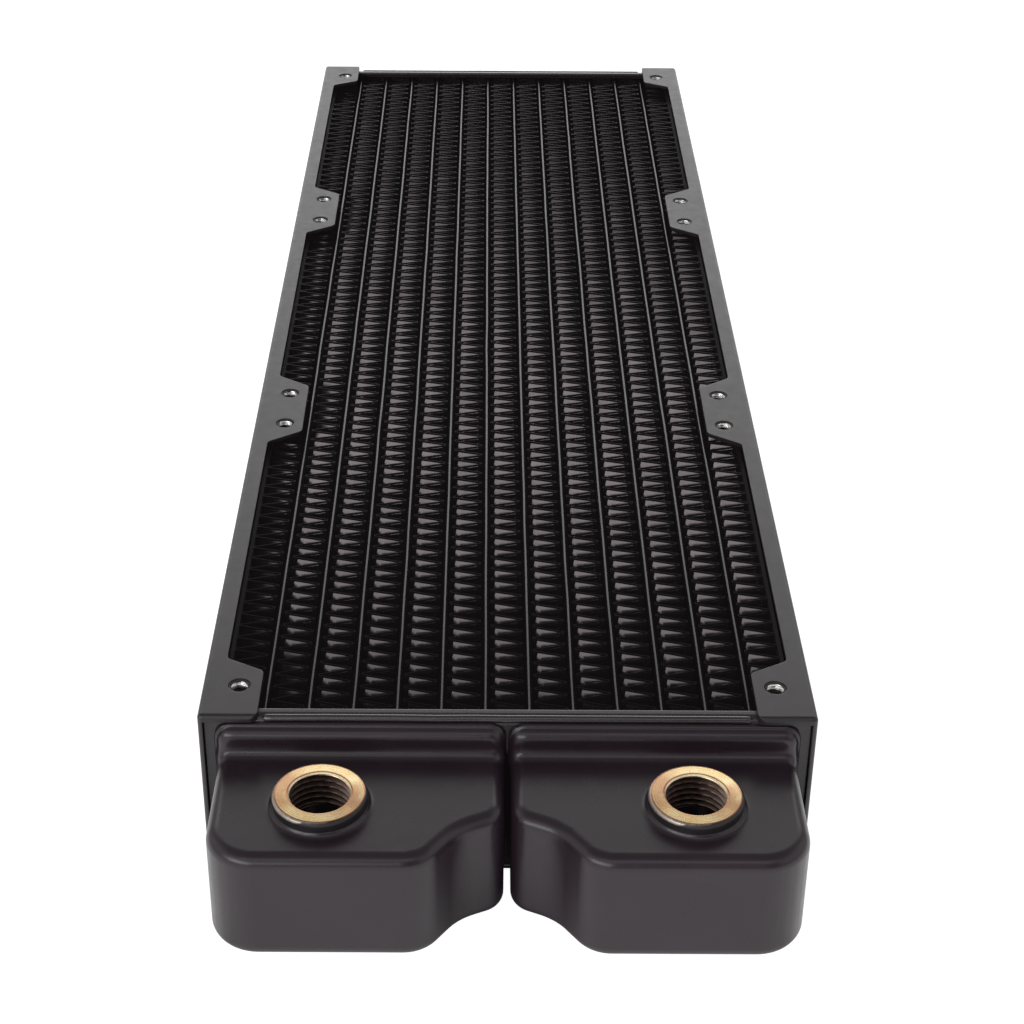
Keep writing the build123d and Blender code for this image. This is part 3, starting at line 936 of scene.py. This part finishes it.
# =====================================================================
# threaded collars and nuts: closed lathe surfaces with a real helix
# =====================================================================
def lathe(stations, around, pitch, depth, thread_top):
    """Vertices, quads and material indices of a turned ring.

    stations: (radius, z, steps to the next station, material index), closing on
    the first. The first stretch is the threaded bore; its helix fades in from
    its lower end and out towards thread_top.
    """
    rows, materials = [], []
    for (r0, z0, steps, material), (r1, z1, *_) in zip(stations, stations[1:] + stations[:1]):
        rows += [(r0 + (r1 - r0) * i / steps, z0 + (z1 - z0) * i / steps)
                 for i in range(steps)]
        materials += [material] * steps
    theta = np.linspace(0, 2 * math.pi, around, endpoint=False)
    radius, z = (np.repeat(column[:, None], around, 1) for column in np.array(rows).T)

    threaded = stations[0][2]
    bore_z = z[:threaded]
    phase = (bore_z / pitch - theta[None, :] / (2 * math.pi)) % 1.0
    crest = 1 - np.abs(2 * phase - 1)               # 0 root, 1 crest
    crest = np.clip((crest - 0.12) / 0.76, 0, 1)    # flats on both
    run_out = 0.4
    fade = (np.clip((bore_z - stations[0][1]) / run_out, 0, 1)
            * np.clip((thread_top - bore_z) / run_out, 0, 1))
    radius[:threaded] += depth * (1 - crest) * fade

    verts = np.stack([radius * np.cos(theta), radius * np.sin(theta), z], -1).reshape(-1, 3)
    quads = grid_faces(len(rows), around, wrap_rows=True, wrap_columns=True)
    return verts, quads[:, ::-1], np.repeat(np.array(materials), around)


PORT_MINOR, PORT_MAJOR, PORT_PITCH = 5.7225, 6.5785, 1.337      # thread radii and pitch
COLLAR_SKIRT_RADIUS = 7.8
COLLAR_MATERIALS = [BRASS, PORT_THREAD, BRASS, COLLAR_EDGE, COLLAR_PAINT]
FACE, BORE, EDGE, SIDE = 0, 1, 3, 4     # indices into COLLAR_MATERIALS


def collar(node):
    low, high = box_mm(node)
    center_x, center_y, _ = (low + high) / 2
    bottom, top = low[2], high[2]
    rim = (high[0] - low[0]) / 2
    lead_in = top - 0.30
    stations = [
        (PORT_MINOR, bottom, 90, BORE),
        (PORT_MINOR, lead_in, 4, BORE),
        (6.00, top - 0.05, 2, FACE),
        (6.08, top, 16, FACE),          # turned face, slightly crowned
        (rim - 0.58, top - 0.09, 2, FACE),
        (rim - 0.48, top - 0.12, 4, EDGE),
        (rim - 0.22, top - 0.25, 4, EDGE),
        (rim - 0.08, top - 0.44, 4, EDGE),
        (rim, top - 0.80, 8, SIDE),
        (rim, top - 3.0, 3, SIDE),
        (COLLAR_SKIRT_RADIUS, top - 3.0, 6, SIDE),
        (COLLAR_SKIRT_RADIUS, bottom, 4, BORE),
    ]
    verts, quads, mat_index = lathe(stations, around=120, pitch=PORT_PITCH,
                                    depth=PORT_MAJOR - PORT_MINOR, thread_top=lead_in + 0.1)
    make_object(node + "_turned", verts + np.array([center_x, center_y, 0]), quads,
                COLLAR_MATERIALS, slot="port_brass", replaces=node, mat_index=mat_index,
                origin=(center_x, center_y, top), sharp_angle=38)


collar("port_collar_inlet")
collar("port_collar_outlet")

FAN_PITCH = 120
FAN_HOLE = 52.5                         # from a fan's centre, along X and Y
NUT_MINOR, NUT_PITCH, NUT_THREAD_DEPTH = 1.62, 0.7, 0.36
NUT_FLANGE_RADIUS = 3.2


def nuts(node, up):
    """All twelve nuts of one fan side, mouths facing up or down."""
    low, high = box_mm(node)
    back = low[2] if up else high[2]
    height = abs(high[2] - low[2])
    stations = [                        # z is measured from the back of a nut
        (NUT_MINOR, 0, 34, 0),          # index 0 is the thread, 1 the paint
        (NUT_MINOR, height - 0.32, 4, 1),
        (1.93, height - 0.06, 2, 1),
        (2.00, height - 0.02, 2, 1),
        (2.10, height - 0.10, 2, 1),
        (2.14, height - 0.25, 3, 1),
        (2.18, height - 1.0, 2, 1),
        (3.0, height - 1.0, 2, 1),
        (NUT_FLANGE_RADIUS, height - 1.15, 2, 1),
        (NUT_FLANGE_RADIUS, 0.15, 2, 1),
        (3.0, 0.0, 3, 1),
    ]
    verts, quads, mat_index = lathe(stations, around=44, pitch=NUT_PITCH,
                                    depth=NUT_THREAD_DEPTH, thread_top=height - 0.2)
    flip = 1 if up else -1
    places = [(x, fan_y + dy) for fan_y in (-FAN_PITCH, 0, FAN_PITCH)
              for dy in (-FAN_HOLE, FAN_HOLE) for x in (-FAN_HOLE, FAN_HOLE)]
    parts = Parts()
    for x, y in places:
        angle = rng.uniform(0, 2 * math.pi)
        cos, sin = math.cos(angle), math.sin(angle)
        turned = verts @ np.array([[cos, -sin, 0], [sin, cos, 0], [0, 0, 1]]).T
        parts.add(turned * np.array([1, 1, flip]) + np.array([x, y, back]), quads[:, ::flip])
    make_object(node + "_threaded", *parts.arrays(), [NUT_THREAD, NUT_PAINT],
                slot="nut_steel", replaces=node, mat_index=np.tile(mat_index, len(places)),
                sharp_angle=50)


nuts("fan_nuts_top", up=True)
nuts("fan_nuts_bottom", up=False)


# =====================================================================
# rolled beads along the upper and lower edges of each header
# =====================================================================
BEAD_HALF_LENGTH = 47.6
BEAD_INSET_Y, BEAD_INSET_Z = 0.80, 0.76     # bead centre from the header's box
BEAD_RADIUS_Y, BEAD_RADIUS_Z = 0.78, 0.84
BEAD_TAPER = 0.8                            # length of the rounded ends
BEAD_WAVER = 0.035
BEAD_AROUND = 20


def hem_bead(node, end):
    """Both beads of a header; end is the sign of Y it faces."""
    low, high = box_mm(node)
    face = low[1] if end < 0 else high[1]
    center_y = face - end * BEAD_INSET_Y
    xs = np.linspace(-BEAD_HALF_LENGTH, BEAD_HALF_LENGTH, 97)
    waver = np.interp(xs, np.linspace(-BEAD_HALF_LENGTH, BEAD_HALF_LENGTH, 15),
                      np.random.default_rng(31 + end).normal(0, BEAD_WAVER, 15))
    angle = np.linspace(0, 2 * math.pi, BEAD_AROUND, endpoint=False)
    parts = Parts()
    for center_z in (high[2] - BEAD_INSET_Z, low[2] + BEAD_INSET_Z):
        rings = []
        for x, shift in zip(xs, waver):
            size = min(1.0, (BEAD_HALF_LENGTH - abs(x)) / BEAD_TAPER + 0.02) ** 0.5
            rings.append(np.c_[
                np.full(BEAD_AROUND, x),
                center_y + end * shift + BEAD_RADIUS_Y * size * np.cos(angle),
                center_z + BEAD_RADIUS_Z * size * np.sin(angle)])
        parts.add(np.concatenate(rings), grid_faces(len(xs), BEAD_AROUND, wrap_columns=True))
    make_object(node + "_bead", *parts.arrays(), [BEAD_PAINT], slot="header_black")


hem_bead("header_plate_front", -1)
hem_bead("header_plate_rear", 1)


# =====================================================================
# stage, light and camera, in metres
# =====================================================================
FLOOR_HALF = 6.0
FLOOR_GAP = 0.0002                      # below the radiator


def floor_material():
    """White sweep that glows evenly, except for a painted shadow under the radiator
    itself, which shows only in light and reflections."""
    material, shader, surface = new_material("floor_white")
    position = shader.node("NewGeometry").outputs["Position"]
    mottle = shader.noise(position, scale=8.0)
    color = shader.mix(shader.remap(mottle), (0.34, 0.34, 0.34), (0.36, 0.36, 0.36))
    x, y, _ = shader.axes(position)
    shade_shift = 0.010                 # the dark patch is centred this far towards -Y
    from_x = shader.math("ABSOLUTE", x)
    from_y = shader.math("ABSOLUTE", shader.math("ADD", y, shade_shift))
    # painted shadow: no glow under the radiator's footprint, except to the camera
    lit = shader.math("MAXIMUM", shader.remap(from_x, span=(0.050, 0.066)),
                      shader.remap(from_y, span=(0.192, 0.210)))
    camera_ray = shader.node("LightPath").outputs["Is Camera Ray"]
    lit = shader.math("MAXIMUM", lit, camera_ray)
    glow, camera_extra = 0.88, 0.1
    strength = shader.math("ADD", shader.math("MULTIPLY", camera_ray, camera_extra), glow)
    shader.set_inputs(surface, {
        "Base Color": color,
        "Roughness": 0.9,
        "Specular IOR Level": 0.1,
        "Emission Color": (1, 1, 1),
        "Emission Strength": shader.math("MULTIPLY", lit, strength)})
    return material


def floor():
    mesh = bpy.data.meshes.new("floor")
    half = FLOOR_HALF
    mesh.from_pydata([(-half, -half, 0), (half, -half, 0), (half, half, 0), (-half, half, 0)],
                     [], [(0, 1, 2, 3)])
    ob = bpy.data.objects.new("floor", mesh)
    ob.location = (0, 0, CAD_BOX[0][2] - FLOOR_GAP)
    bpy.context.scene.collection.objects.link(ob)
    mesh.materials.append(floor_material())


AMBIENT = (0.22, 0.28)                  # horizon, zenith
CAMERA_WHITE = 1.05                     # surround as the camera sees it
# Soft boxes in degrees: side the azimuth is measured from, azimuth range and
# softness, elevation range and softness, power. Azimuth grows towards +X from
# the back (+Y) and towards -X from the front (-Y).
SOFT_BOXES = (
    ("back", (-30.0, 30.0), 6, (-5, 35.7), 8, 1.95),    # broad wall behind
    ("back", (50, 135), 10, (8, 48), 8, 0.55),          # right side
    ("back", (-135, -50), 10, (8, 48), 8, 0.55),        # left side
    ("front", (8, 62), 7, (13, 31), 5, 4.6),            # low on the front left
    ("front", (-42, 50), 12, (44, 60), 6, 1.1),         # high in front
)


def world():
    """Studio surround: white to the camera, soft boxes in light and reflections."""
    studio = bpy.data.worlds.new("studio")
    bpy.context.scene.world = studio
    studio.use_nodes = True
    shader = Shader(studio.node_tree)
    output = shader.node("OutputWorld")
    background = shader.node("Background")
    shader.set_inputs(output, {0: background.outputs[0]})
    x, y, z = shader.axes(shader.node("TexCoord").outputs["Generated"])

    def degrees(angle):
        return shader.math("MULTIPLY", angle, 180 / math.pi)

    elevation = degrees(shader.math("ARCSINE", z))
    azimuth = {
        "back": degrees(shader.math("ARCTAN2", x, y)),
        "front": degrees(shader.math("ARCTAN2", shader.math("MULTIPLY", x, -1.0),
                                     shader.math("MULTIPLY", y, -1.0))),
    }

    def window(angle, limits, softness):
        rise, fall = (shader.remap(angle, span=(limit - softness, limit + softness), to=to,
                                   curve="SMOOTHSTEP")
                      for limit, to in zip(limits, ((0, 1), (1, 0))))
        return shader.math("MULTIPLY", rise, fall)

    total = shader.remap(z, span=(0.0, 1.0), to=AMBIENT)
    for side, across, across_soft, upward, upward_soft, power in SOFT_BOXES:
        mask = shader.math("MULTIPLY", window(azimuth[side], across, across_soft),
                           window(elevation, upward, upward_soft))
        total = shader.math("ADD", total, shader.math("MULTIPLY", mask, power))
    camera_ray = shader.node("LightPath").outputs["Is Camera Ray"]
    other_rays = shader.math("SUBTRACT", 1.0, camera_ray)
    total = shader.math("ADD", shader.math("MULTIPLY", total, other_rays),
                        shader.math("MULTIPLY", camera_ray, CAMERA_WHITE))
    shader.set_inputs(background, {"Strength": total, "Color": (1, 1, 1)})


def camera():
    """Looks down on the radiator from beyond the port end."""
    data = bpy.data.cameras.new("camera")
    data.sensor_fit = "HORIZONTAL"
    data.sensor_width = 36.0
    data.lens = 73.54546875
    data.shift_x = 0.0263671875
    data.shift_y = -0.041015625
    data.clip_start = 0.01
    data.clip_end = 50.0
    ob = bpy.data.objects.new("camera", data)
    ob.location = (-0.004577, -0.503906, 0.284788)
    ob.rotation_euler = [math.radians(angle) for angle in (59.453, -0.253, 0.154)]
    bpy.context.scene.collection.objects.link(ob)
    bpy.context.scene.camera = ob


floor()
world()
camera()
bpy.context.scene.view_settings.view_transform = "Standard"
bpy.context.scene.view_settings.look = "None"
